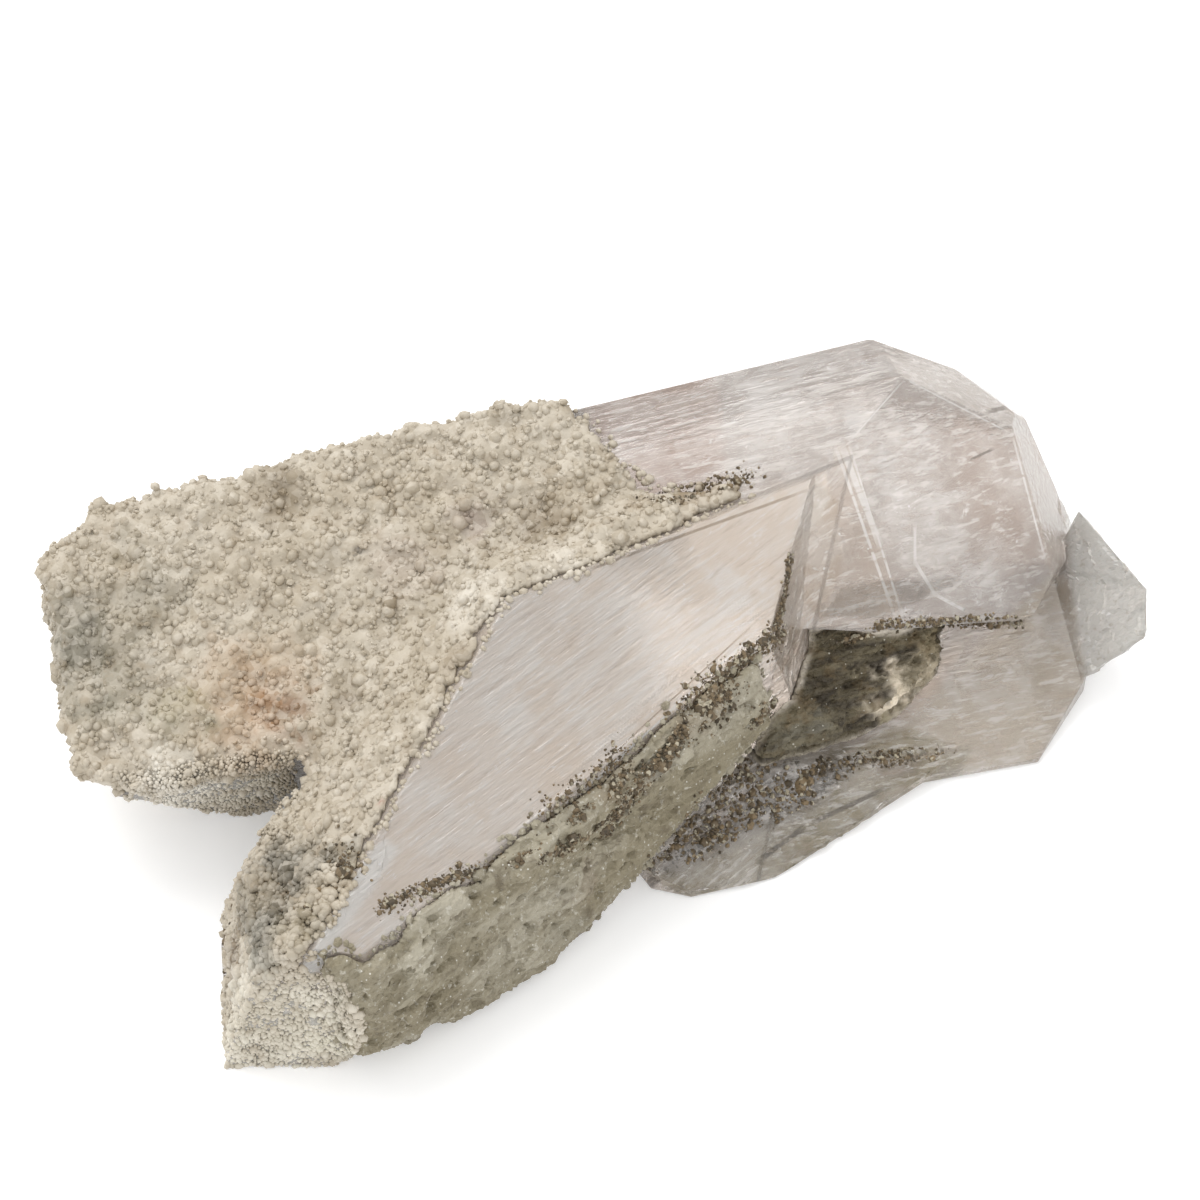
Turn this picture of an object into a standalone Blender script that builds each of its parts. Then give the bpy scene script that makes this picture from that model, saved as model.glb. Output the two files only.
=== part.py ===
"""Danburite specimen: intergrown crystals under a sugary crust, with grey matrix left on them.

Each crystal is a block trimmed by its own flat faces. A face is given by its turn about the
crystal's long axis (0 is the top, 90 the back), its lean towards the tip, and its distance
from the crystal's middle. Angles are in degrees. All lengths are in millimetres, and become
metres at the very end.
"""
import math

import bmesh
import bpy
from mathutils import Matrix, Vector, noise

MM = 0.001
ORIGIN = Vector((0.4, 2.2, 0.0))   # the middle of the specimen's box, on the ground
GAP = 0.3                          # clearance between neighbouring solids
BLOCK = 140.0                      # side of the block that each crystal is trimmed from
FAR_OUT = 30.0                     # how far a face is moved to take it out of the way

# The long main crystal lies left to right and rises to its clear, many-sided end.
MAIN = {
    "middle": (-4.0, 14.0, 9.5),
    "heading": 13, "pitch": 6, "roll": 20,
    "faces": {
        "top": (0, 0, 9.1),
        "end": (-23, 16, 14.8),
        "end_step": (-23, 10, 12.2),
        "end_bevel": (15, 34, 26.9),
        "end_strip": (-18, 61, 38.0),
        "end_back": (30, 75, 42.6),
        "end_corner": (-85, 48, 38.3),
        "back_bevel": (50, 48, 34.2),
        "back_edge": (87, 23, 21.9),
        "back_corner": (84, 34, 27.8),
        "back": (88, 0, 10.6),
        "front": (-85, 0, 13.7),
        "left_end": (10, -78, 40.2),
        "left_front": (-60, -50, 39.2),
        "left_back": (72, -31, 28.4),
        "left_under": (-170, -51, 25.5),
        "underside": (182, 0, 9.5),
    },
}

# The underside of the main crystal's clear end is broken away up to a ledge.
LEDGE_NOTCH = {
    "middle": (30.0, 4.0, 2.0),
    "heading": 18, "pitch": 0, "roll": 0,
    "faces": {
        "roof": (8, 12, 8.0),
        "back": (90, 0, 11.0),
        "left": (0, -90, 14.0),
    },
}

# The front crystal is a blade that leans on the main one, with its tip at the upper right.
FRONT = {
    "middle": (-2.0, -6.0, 8.0),
    "heading": 42, "pitch": 4, "roll": 22,
    "faces": {
        "top": (0, 0, 9.0),
        "side": (-57, 0, 6.9),
        "upper_rim": (57, 12, 15.7),
        "crusted_flank": (54, -19, 14.0),
        "tip": (-53, 28, 14.6),
        "tip_back": (-10, 80, 31.6),
        "tip_front": (-71, 29, 15.1),
        "tip_root": (150, 50, 23.9),
        "underside": (-116, 12, 9.7),
        "lower_end": (80, -50, 25.6),
        "lower_front": (-57, -41, 21.6),
        "lower_step": (-79, -15, 12.9),
        "lower_back": (107, -8, 13.6),
    },
}

# The lower right crystal grew parallel to the main one and sticks out below its end.
LOWER = {
    "middle": (32.0, 8.0, 4.0),
    "heading": 13, "pitch": 6, "roll": 20,
    "faces": {
        "top": (-1, 8, -0.2),
        "right": (-157, 86, 10.4),
        "right_low": (-79, 45, 8.8),
        "front": (-73, -1, 8.3),
        "left": (0, -80, 18.5),
        "back": (90, 0, 8.0),
    },
}

# A stub lies under the front crystal, and a small broken one stands out at the far right.
STUB = {
    "middle": (18.0, -3.0, 3.0),
    "heading": 28, "pitch": 0, "roll": 15,
    "faces": {
        "slope": (-12, -1, 0.2),
        "front": (-85, 9, 5.0),
        "front_left": (-85, -13, 7.3),
        "left_front": (-77, -42, 11.9),
        "left_end": (0, -70, 14.0),
        "top": (21, 9, 0.8),
        "right": (0, 80, 11.5),
        "back": (80, 0, 9.0),
    },
}
FAR = {
    "middle": (42.0, 14.0, 5.0),
    "heading": -30, "pitch": 0, "roll": 0,
    "faces": {
        "top": (-48, -25, 0.8),
        "back_right": (95, 32, 2.7),
        "right": (120, 43, 1.9),
        "front": (-144, 56, 5.3),
        "left": (0, -80, 4.0),
    },
}
NEIGHBOURS = (FRONT, LOWER, STUB, FAR)

# The crust is a coat of rounded lumps on the main crystal's left two thirds and on the
# front crystal's left flank. Its edges are faces of the main crystal's frame.
CRUST_THICKNESS = 1.5
CRUST_EDGE = (90, 63, 9.9)         # the main crystal is clear beyond this face
CRUST_TAPER = 3.0                  # the crust thins out over this width at that edge,
CRUST_EDGE_DROP = 0.8              # by this much
CRUST_LOWER_EDGES = ((-104, -27, 25.9), (-107, -2, 11.2))  # the front side is bare below these
CRUST_VOXEL = 0.95
CRUST_FACES = 10000
CRUST_LUMP_SIZE = 2.4
CRUST_LUMP_HEIGHT = 0.9

# Coats on the front crystal. From and to are places along it.
COAT_LOWEST = 0.9                  # height of the coats' lower edges over the ground
COAT_DEPTH = 4.0                   # how far a coat is carried into a crystal before they are parted
RIM_DROP = -0.3                    # height of the coats over the front crystal's top face
RIM_LEDGE = 2.2                    # how far the crust stands out beyond the upper rim
FLANK_THICKNESS = 1.1              # its thickness on the left flank
LOWER_BACK_THICKNESS = 0.9         # its thickness where the flank turns under
FLANK_FROM = -33.0
FLANK_TO = 25.0

# Grey rock is left on the front crystal's right side, down to the ground.
ROCK_THICKNESS = 1.5
ROCK_FROM = -27.5
ROCK_TO = 15.5
ROCK_RIM = (-91, 9, 9.5)           # a face of the front crystal's frame: its sharp lower rim
ROCK_TAPER = 3.0                   # the rock evens out over this width at the rim and the tip
ROCK_VOXEL = 1.0
ROCK_FACES = 2800
ROCK_LUMP_SIZE = 3.4
ROCK_LUMP_HEIGHT = 1.1
ROCK_ROUGH_SIZE = 4.0

# Dark rock fills the hollow under the ledge, between the crystals.
DARK_ROCK = {
    "middle": (24.0, 4.0, 4.0),
    "heading": 15, "pitch": 0, "roll": 0,
    "faces": {
        "slope": (-26, 8, 3.7),
        "right": (-101, 17, 0.7),
        "right_low": (-92, 45, 2.1),
        "front": (-96, -7, 6.6),
        "left": (0, -90, 12.0),
        "back": (90, 0, 9.0),
    },
}
RIDGE_LENGTH = 9.0
RIDGE_WIDTH = 2.2
RIDGE_HEIGHT = 1.2

# Colour and roughness of each piece.
FINISHES = {
    "danburite_crystals": ((0.80, 0.72, 0.70), 0.12),
    "druse_crust": ((0.66, 0.62, 0.55), 0.75),
    "matrix_front": ((0.40, 0.37, 0.31), 0.85),
    "matrix_between": ((0.22, 0.20, 0.17), 0.9),
}


def crystal_axes(crystal):
    """Columns are the long axis, the back and the top of a crystal."""
    heading, pitch, roll = (math.radians(crystal[key]) for key in ("heading", "pitch", "roll"))
    turned = Matrix.Rotation(heading, 3, "Z") @ Matrix.Rotation(-pitch, 3, "Y")
    return turned @ Matrix.Rotation(roll, 3, "X")


def face_plane(crystal, face, grow=0.0):
    """A point on a face and its outward direction, in the specimen's frame."""
    turn, lean, distance = face
    turn, lean = math.radians(turn), math.radians(lean)
    local = Vector((math.sin(lean), math.cos(lean) * math.sin(turn), math.cos(lean) * math.cos(turn)))
    outward = crystal_axes(crystal) @ local
    return Vector(crystal["middle"]) + outward * (distance + grow), outward


def trim(bm, point, outward):
    """Cut away what lies beyond a plane and close the cut with one flat face."""
    parts = bm.verts[:] + bm.edges[:] + bm.faces[:]
    cut = bmesh.ops.bisect_plane(bm, geom=parts, plane_co=point, plane_no=outward, clear_outer=True)
    edges = [item for item in cut["geom_cut"] if isinstance(item, bmesh.types.BMEdge)]
    if edges:
        bmesh.ops.contextual_create(bm, geom=edges)


def trim_below(bm, height):
    """Cut away what lies lower than a height over the ground."""
    trim(bm, Vector((0, 0, height)), Vector((0, 0, -1)))


def crystal_block(crystal, grow=0.0, grow_faces=None):
    """A crystal's closed mesh: every face is moved out by grow, or by its own value."""
    grow_faces = grow_faces or {}
    bm = bmesh.new()
    bmesh.ops.create_cube(bm, size=BLOCK, matrix=Matrix.Translation(crystal["middle"]))
    for name, face in crystal["faces"].items():
        trim(bm, *face_plane(crystal, face, grow_faces.get(name, grow)))
    bmesh.ops.recalc_face_normals(bm, faces=bm.faces[:])
    return bm


def solid(name, bm, collection):
    """An object made from a mesh in millimetres."""
    mesh = bpy.data.meshes.new(name)
    bm.to_mesh(mesh)
    bm.free()
    item = bpy.data.objects.new(name, mesh)
    collection.objects.link(item)
    return item


def settle(item):
    """Replace an object's mesh by what its modifiers make of it."""
    result = item.evaluated_get(bpy.context.evaluated_depsgraph_get())
    mesh = bpy.data.meshes.new_from_object(result)
    item.modifiers.clear()
    item.data = mesh


def combine(item, other, operation, solver="EXACT"):
    """Join one solid to another or cut it by the other with a Boolean."""
    step = item.modifiers.new(operation.title(), "BOOLEAN")
    step.operation = operation
    step.solver = solver
    step.object = other
    settle(item)


def remesh(item, voxel):
    """Rebuild a solid's surface as one even skin."""
    step = item.modifiers.new("Even skin", "REMESH")
    step.mode = "VOXEL"
    step.voxel_size = voxel
    settle(item)


def displace(item, height):
    """Move each point along its normal by height(point)."""
    mesh = item.data
    places = [(vert.co.copy(), vert.normal.copy()) for vert in mesh.vertices]
    for vert, (point, normal) in zip(mesh.vertices, places):
        vert.co = point + normal * height(point)
    mesh.update()


def keep_largest_body(item):
    """Drop crumbs that a cut left loose."""
    bm = bmesh.new()
    bm.from_mesh(item.data)
    bodies = []
    left = set(bm.verts)
    while left:
        body = set()
        front = [left.pop()]
        while front:
            vert = front.pop()
            body.add(vert)
            near = {link.other_vert(vert) for link in vert.link_edges} & left
            left -= near
            front.extend(near)
        bodies.append(body)
    largest = max(bodies, key=len)
    bmesh.ops.delete(bm, geom=[vert for vert in bm.verts if vert not in largest], context="VERTS")
    bm.to_mesh(item.data)
    bm.free()


def fit_against(item, crystals, faces):
    """Thin out a lumpy coat to about that many faces and cut it clear of the crystals.

    The exact solver breaks these lumpy skins up, so the cut uses the manifold one.
    """
    step = item.modifiers.new("Fewer faces", "DECIMATE")
    step.ratio = faces / (2 * len(item.data.polygons))
    settle(item)
    combine(item, crystals, "DIFFERENCE", "MANIFOLD")
    keep_largest_body(item)


def lump(point, size):
    """1 on top of a rounded lump, falling to 0 in the grooves between lumps."""
    nearest = noise.voronoi(point / size)[0][0]
    return max(0.0, 1.0 - nearest * nearest * 1.6)


def smooth_step(value, low, high):
    """0 below low, 1 above high."""
    share = min(1.0, max(0.0, (value - low) / (high - low)))
    return share * share * (3 - 2 * share)


def ground_block(height):
    """A block whose flat top is at a height over the ground."""
    bm = bmesh.new()
    centre = Vector((0, 0, height - BLOCK))
    bmesh.ops.create_cube(bm, size=2 * BLOCK, matrix=Matrix.Translation(centre))
    return bm


def joined_crystals(name, collection, cutters, grow=0.0):
    """All crystals as one solid, grown outward by grow, on one flat base."""
    cluster = solid(name, crystal_block(MAIN, grow), collection)
    notch = solid("ledge_notch", crystal_block(LEDGE_NOTCH, -grow), cutters)
    combine(cluster, notch, "DIFFERENCE")
    for number, crystal in enumerate(NEIGHBOURS):
        other = solid("neighbour_%d" % number, crystal_block(crystal, grow), cutters)
        combine(cluster, other, "UNION")
    combine(cluster, solid("ground", ground_block(-grow), cutters), "DIFFERENCE")
    return cluster


def front_coat(name, collection, cutters, grow_faces, start, stop, more_faces=()):
    """A coat on some faces of the front crystal, between two places along it.

    It is carried into the crystal behind the grown faces, so that it is thick enough to remesh.
    """
    body = crystal_block(FRONT, 0.0, {"top": RIM_DROP, **grow_faces})
    trim_below(body, COAT_LOWEST)
    for face in ((0, -90, -start), (0, 90, stop), *more_faces):
        trim(body, *face_plane(FRONT, face))
    coat = solid(name, body, collection)
    depths = dict.fromkeys(grow_faces, -COAT_DEPTH)
    inside = solid(name + "_inside", crystal_block(FRONT, FAR_OUT, depths), cutters)
    combine(coat, inside, "DIFFERENCE")
    return coat


def druse_crust(collection, cutters, grown_crystals):
    """The sugary crust: one coat over both large crystals."""
    edge_point, edge_direction = face_plane(MAIN, CRUST_EDGE)
    body = crystal_block(MAIN, CRUST_THICKNESS)
    trim_below(body, COAT_LOWEST)
    for face in (CRUST_EDGE, *CRUST_LOWER_EDGES):
        trim(body, *face_plane(MAIN, face))
    crust = solid("druse_crust", body, collection)
    grown = {
        "crusted_flank": FLANK_THICKNESS,
        "upper_rim": RIM_LEDGE,
        "lower_back": LOWER_BACK_THICKNESS,
    }
    flank = front_coat("flank_coat", cutters, cutters, grown, FLANK_FROM, FLANK_TO)
    combine(crust, flank, "UNION")
    remesh(crust, CRUST_VOXEL)

    def height(point):
        taper = 1 - smooth_step((edge_point - point).dot(edge_direction), 0.0, CRUST_TAPER)
        return CRUST_LUMP_HEIGHT * (lump(point, CRUST_LUMP_SIZE) - 0.5) - CRUST_EDGE_DROP * taper

    displace(crust, height)
    fit_against(crust, grown_crystals, CRUST_FACES)
    return crust


def matrix_front(collection, cutters, grown_crystals):
    """Grey rock with lumps and pits on the front crystal's right side."""
    grown = dict.fromkeys(("side", "lower_front", "lower_step"), ROCK_THICKNESS)
    rock = front_coat("matrix_front", collection, cutters, grown, ROCK_FROM, ROCK_TO, [ROCK_RIM])
    remesh(rock, ROCK_VOXEL)
    to_local = crystal_axes(FRONT).transposed()
    middle = Vector(FRONT["middle"])
    rim_point, rim_direction = face_plane(FRONT, ROCK_RIM)

    def height(point):
        along = (to_local @ (point - middle)).x
        full = smooth_step((rim_point - point).dot(rim_direction), 0.0, ROCK_TAPER)
        full *= 1 - smooth_step(along, ROCK_TO - ROCK_TAPER, ROCK_TO)
        rough = noise.fractal(point / ROCK_ROUGH_SIZE, 0.8, 2.0, 3)
        return ROCK_LUMP_HEIGHT * full * (lump(point, ROCK_LUMP_SIZE) - 0.6 + 0.8 * rough)

    displace(rock, height)
    fit_against(rock, grown_crystals, ROCK_FACES)
    return rock


def matrix_between(collection, grown_crystals):
    """Dark rock in the hollow between the crystals, with ridges along the main crystal."""
    body = crystal_block(DARK_ROCK)
    trim_below(body, COAT_LOWEST)
    rock = solid("matrix_between", body, collection)
    remesh(rock, ROCK_VOXEL)
    to_local = crystal_axes(DARK_ROCK).transposed()

    def height(point):
        along, across, up = to_local @ point
        place = Vector((along / RIDGE_LENGTH, across / RIDGE_WIDTH, up / RIDGE_WIDTH))
        return RIDGE_HEIGHT * noise.fractal(place, 0.8, 2.0, 2)

    displace(rock, height)
    fit_against(rock, grown_crystals, ROCK_FACES)
    return rock


def finish_material(name):
    """The plain finish of one piece."""
    colour, roughness = FINISHES[name]
    material = bpy.data.materials.new(name)
    material.use_nodes = True
    shader = material.node_tree.nodes["Principled BSDF"]
    shader.inputs["Base Color"].default_value = (*colour, 1.0)
    shader.inputs["Roughness"].default_value = roughness
    shader.inputs["Metallic"].default_value = 0.0
    return material


def new_collection(name):
    """A collection of the scene."""
    collection = bpy.data.collections.new(name)
    bpy.context.scene.collection.children.link(collection)
    return collection


def main():
    """Build the specimen."""
    for item in list(bpy.data.objects):
        bpy.data.objects.remove(item, do_unlink=True)
    specimen = new_collection("danburite")
    cutters = new_collection("cutters")
    crystals = joined_crystals("danburite_crystals", specimen, cutters)
    grown = joined_crystals("grown_crystals", cutters, cutters, GAP)
    pieces = [
        crystals,
        druse_crust(specimen, cutters, grown),
        matrix_front(specimen, cutters, grown),
        matrix_between(specimen, grown),
    ]
    for piece in pieces:
        piece.data.materials.clear()
        piece.data.materials.append(finish_material(piece.name))
        piece.data.transform(Matrix.Scale(MM, 4) @ Matrix.Translation(-ORIGIN))
    for item in cutters.objects:
        item.hide_render = True
        item.display_type = "WIRE"


main()
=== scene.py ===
"""Danburite specimen: the looks of its crystals, sugary crust and rock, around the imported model.

Shapes are worked on in millimetres in the model's own frame, and become metres at the end.
Places named by a pixel of the photograph are found on the model along the camera's ray.
"""
import math
import random

import bmesh
import bpy
import numpy as np
from mathutils import Matrix, Vector, noise
from mathutils.bvhtree import BVHTree


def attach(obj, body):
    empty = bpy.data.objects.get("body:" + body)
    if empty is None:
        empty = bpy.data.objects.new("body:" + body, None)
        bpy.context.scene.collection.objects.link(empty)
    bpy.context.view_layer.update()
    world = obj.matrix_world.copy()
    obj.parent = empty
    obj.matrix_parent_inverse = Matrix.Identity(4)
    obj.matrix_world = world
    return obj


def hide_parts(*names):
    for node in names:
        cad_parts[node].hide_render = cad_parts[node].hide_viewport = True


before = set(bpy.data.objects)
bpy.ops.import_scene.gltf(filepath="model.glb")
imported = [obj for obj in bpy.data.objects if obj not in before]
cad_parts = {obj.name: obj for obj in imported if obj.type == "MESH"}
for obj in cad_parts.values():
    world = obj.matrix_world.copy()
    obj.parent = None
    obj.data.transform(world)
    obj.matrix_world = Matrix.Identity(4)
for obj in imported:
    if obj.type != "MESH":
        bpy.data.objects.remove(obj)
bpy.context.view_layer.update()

MM = 0.001
SEED = 11
# The name of the colour that each mesh carries on its corners.
TINT = "tint"
# Split corners of a CAD mesh that lie this close are joined, in millimetres.
JOIN_WITHIN = 0.002

# The photograph's view.
PHOTO_SIDE = 1200
ELEVATION = math.radians(50)
LENS = 85.0
SENSOR = 36.0
DISTANCE = 252.0
TARGET = Vector((0.3, 16.8, 0.0))
BACKWARD = Vector((0, -math.cos(ELEVATION), math.sin(ELEVATION)))
# One pixel's width at the middle of the specimen, in millimetres.
PIXEL = DISTANCE * SENSOR / LENS / PHOTO_SIDE
UPWARD = Vector((0, math.sin(ELEVATION), math.cos(ELEVATION)))
EYE = TARGET + DISTANCE * BACKWARD


def axes(heading, pitch, roll):
    """Columns are the long axis, the back and the top of a crystal."""
    turned = Matrix.Rotation(math.radians(heading), 3, "Z") @ Matrix.Rotation(-math.radians(pitch), 3, "Y")
    return turned @ Matrix.Rotation(math.radians(roll), 3, "X")


# The two large crystals lie along these frames.
MAIN_AXES = axes(13, 6, 20)
FRONT_AXES = axes(42, 4, 22)


def smooth_step(value, low, high):
    """0 below low, 1 above high."""
    share = min(1.0, max(0.0, (value - low) / (high - low)))
    return share * share * (3 - 2 * share)


def lump(point, size):
    """1 on top of a rounded lump, falling to 0 in the grooves between lumps."""
    nearest = noise.voronoi(point / size)[0][0]
    return max(0.0, 1.0 - nearest * nearest * 1.6)


# Meshes.

def node_mesh(node):
    """A CAD node's mesh in millimetres, with its split corners joined."""
    bm = bmesh.new()
    bm.from_mesh(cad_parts[node].data)
    bmesh.ops.transform(bm, matrix=Matrix.Scale(1 / MM, 4), verts=bm.verts)
    bmesh.ops.remove_doubles(bm, verts=bm.verts, dist=JOIN_WITHIN)
    return bm


def tree_of(*nodes):
    """A search tree over CAD nodes, in millimetres."""
    joined = bmesh.new()
    for node in nodes:
        part = node_mesh(node)
        mesh = bpy.data.meshes.new("part")
        part.to_mesh(mesh)
        part.free()
        joined.from_mesh(mesh)
    return BVHTree.FromBMesh(joined)


CRYSTALS = tree_of("danburite_crystals")
WHOLE = tree_of("danburite_crystals", "druse_crust", "matrix_front", "matrix_between")


def photo_ray(pixel):
    """The direction in which the camera sees a pixel of the photograph."""
    scale = SENSOR / (LENS * PHOTO_SIDE)
    across = float(pixel[0] - PHOTO_SIDE / 2) * scale
    up = float(PHOTO_SIDE / 2 - pixel[1]) * scale
    return (across * Vector((1, 0, 0)) + up * UPWARD - BACKWARD).normalized()


def photo_point(pixel):
    """The point of the model that the photograph shows at a pixel, in millimetres."""
    point = WHOLE.ray_cast(EYE, photo_ray(pixel))[0]
    if point is None:
        raise ValueError("no model at pixel %s" % (pixel,))
    return point


def photo_hits(pixels):
    """The points of the model at pixels of the photograph, where there are any."""
    hits = (WHOLE.ray_cast(EYE, photo_ray(pixel))[0] for pixel in pixels)
    return np.array([hit[:] for hit in hits if hit is not None])


def photo_pixels(points):
    """Where the camera sees points, as pixels of the photograph."""
    away = points - np.array(EYE)
    depth = away @ -np.array(BACKWARD)
    scale = LENS * PHOTO_SIDE / SENSOR / depth
    return PHOTO_SIDE / 2 + np.stack((away[:, 0] * scale, -(away @ np.array(UPWARD)) * scale), axis=1)


def hull(pixels):
    """The convex outline around pixels, clockwise in the photograph."""
    def chain(ordered):
        kept = []
        for x, y in ordered:
            while len(kept) > 1:
                (ax, ay), (bx, by) = kept[-2:]
                if (bx - ax) * (y - ay) > (by - ay) * (x - ax):
                    break
                kept.pop()
            kept.append((x, y))
        return kept[:-1]

    ordered = sorted(pixels)
    return chain(ordered) + chain(ordered[::-1])


def within(pixels, outline, soft):
    """For each pixel 1 inside an outline and 0 outside, with a soft edge so many pixels wide."""
    share = np.ones(len(pixels))
    corners = np.array(hull(outline), dtype=float)
    for first, second in zip(corners, np.roll(corners, -1, axis=0)):
        side = second - first
        inward = np.array((-side[1], side[0])) / np.hypot(*side)
        over = np.clip((pixels - first) @ inward / soft + 0.5, 0, 1)
        share *= over * over * (3 - 2 * over)
    return share


def piece_from(name, bm, colours, material, slot, node):
    """A piece of the specimen from a mesh in millimetres and its points' colours, for a CAD node."""
    mesh = bpy.data.meshes.new(name)
    bmesh.ops.transform(bm, matrix=Matrix.Scale(MM, 4), verts=bm.verts)
    bm.to_mesh(mesh)
    bm.free()
    set_tint(mesh, colours)
    piece_of(name, mesh, material, slot, node)


def mesh_points(bm):
    """The points of a mesh as an array."""
    return np.array([vert.co[:] for vert in bm.verts])


def piece_of(name, mesh, material, slot, *nodes):
    """A piece of the specimen from a mesh in metres, in place of any CAD nodes named."""
    mesh.materials.clear()
    mesh.materials.append(material)
    piece = bpy.data.objects.new(name, mesh)
    bpy.context.scene.collection.objects.link(piece)
    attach(piece, "root")
    if nodes:
        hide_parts(*nodes)


def remeshed(node, voxel):
    """A CAD node's skin rebuilt from small even faces, in millimetres."""
    bm = node_mesh(node)
    mesh = bpy.data.meshes.new(node + "_skin")
    bm.to_mesh(mesh)
    bm.free()
    item = bpy.data.objects.new(node + "_skin", mesh)
    bpy.context.scene.collection.objects.link(item)
    step = item.modifiers.new("Even skin", "REMESH")
    step.mode = "VOXEL"
    step.voxel_size = voxel
    result = item.evaluated_get(bpy.context.evaluated_depsgraph_get())
    skin = bmesh.new()
    skin.from_mesh(result.to_mesh())
    bpy.data.objects.remove(item, do_unlink=True)
    return skin


def displace(bm, height):
    """Move each point along its normal by height(point, normal)."""
    bm.normal_update()
    moves = [vert.normal * height(vert.co, vert.normal) for vert in bm.verts]
    for vert, move in zip(bm.verts, moves):
        vert.co += move


def smooth(bm):
    """Shade every face smooth."""
    for face in bm.faces:
        face.smooth = True


def spread_out(places, gap, rng):
    """Indices of places that keep a gap to each other, in random order."""
    order = list(range(len(places)))
    rng.shuffle(order)
    cells = {}
    kept = []
    for index in order:
        x, y, z = places[index]
        cell = (int(x // gap), int(y // gap), int(z // gap))
        near = (
            other
            for i in (-1, 0, 1) for j in (-1, 0, 1) for k in (-1, 0, 1)
            for other in cells.get((cell[0] + i, cell[1] + j, cell[2] + k), ())
        )
        if all((x - a) ** 2 + (y - b) ** 2 + (z - c) ** 2 > gap * gap for a, b, c in near):
            cells.setdefault(cell, []).append((x, y, z))
            kept.append(index)
    return kept


def set_tint(mesh, colours):
    """Lay a colour and an alpha for each point on the corners of a mesh."""
    points = np.empty(len(mesh.loops), dtype=np.int32)
    mesh.loops.foreach_get("vertex_index", points)
    layer = mesh.attributes.new(TINT, "FLOAT_COLOR", "CORNER")
    layer.data.foreach_set("color", np.ascontiguousarray(colours[points], dtype=np.float32).ravel())


def eased(values):
    """Values kept from 0 to 1, with a smooth start and end."""
    values = np.clip(values, 0, 1)
    return values * values * (3 - 2 * values)


# The outline of a stain, and of a patch of painted light, wanders on two scales, in millimetres, each with a
# share of the radius.
STAIN_AND_LIGHT_BROAD, STAIN_AND_LIGHT_BROAD_SHARE = 2.0, 0.8
STAIN_AND_LIGHT_FINE, STAIN_AND_LIGHT_FINE_SHARE = 0.6, 0.5
STAIN_AND_LIGHT_WANDER = 2.5
# The share of the radius of a stain, and of a patch of painted light, over which it fades out.
STAIN_AND_LIGHT_FADE = 0.8


def stain_and_light_colours(points, base, stain_and_light_patches):
    """For each point a colour: the base with ragged round patches of stain and of painted light laid on, and
    an alpha of 1.
    """
    broad = np.array([noise.noise(Vector(point) / STAIN_AND_LIGHT_BROAD) for point in points])
    fine = np.array([noise.noise(Vector(point) / STAIN_AND_LIGHT_FINE) for point in points])
    wander = STAIN_AND_LIGHT_BROAD_SHARE * broad + STAIN_AND_LIGHT_FINE_SHARE * fine
    colours = np.tile(np.array(linear(*base)), (len(points), 1))
    for pixel, radius, tint, share in stain_and_light_patches:
        away = np.linalg.norm(points - np.array(photo_point(pixel)), axis=1)
        away = away + min(radius, STAIN_AND_LIGHT_WANDER) * wander
        mask = share * eased((radius - away) / (STAIN_AND_LIGHT_FADE * radius))
        colours += mask[:, None] * (np.array(linear(*tint)) - colours)
    return colours


# How uneven a grain's three widths and its corners are, as shares of its radius.
GRAIN_SQUASH = 0.25
GRAIN_UNEVEN = 0.16


def grain_mesh(name, places, sizes, seed):
    """Many small rounded crystals joined in one mesh, in metres."""
    ball = bmesh.new()
    bmesh.ops.create_icosphere(ball, subdivisions=1, radius=1.0)
    corners = np.array([vert.co[:] for vert in ball.verts])
    faces = np.array([[vert.index for vert in face.verts] for face in ball.faces])
    ball.free()
    count = len(places)
    draw = np.random.default_rng(seed)
    turns, _ = np.linalg.qr(draw.normal(size=(count, 3, 3)))
    shapes = corners[None] * (1 + draw.uniform(-GRAIN_SQUASH, GRAIN_SQUASH, (count, 1, 3)))
    shapes = shapes * (1 + draw.uniform(-GRAIN_UNEVEN, GRAIN_UNEVEN, (count, len(corners), 1)))
    placed = np.einsum("nij,nkj->nki", turns, shapes) * sizes[:, None, None] + places[:, None]
    flipped = np.linalg.det(turns) < 0
    every = np.where(flipped[:, None, None], faces[None, :, ::-1], faces[None])
    every = every + (np.arange(count) * len(corners))[:, None, None]
    mesh = bpy.data.meshes.new(name)
    mesh.from_pydata((placed * MM).reshape(-1, 3).tolist(), [], every.reshape(-1, 3).tolist())
    mesh.shade_smooth()
    return mesh


# Materials.

def linear(red, green, blue):
    """A screen colour, 0 to 255, as the linear colour that a shader takes."""
    shares = (red / 255, green / 255, blue / 255)
    return tuple(((c + 0.055) / 1.055) ** 2.4 if c > 0.04 else c / 12.92 for c in shares) + (1.0,)


# How softly growth lines change direction between two crystals, in millimetres.
SIDE_SOFTNESS = 0.2
# A stroke's wander, and where it ends and is full, as shares of half its width.
STROKE_WANDER = 0.5
STROKE_OUTSIDE = 1.1
STROKE_INSIDE = 0.5


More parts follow.
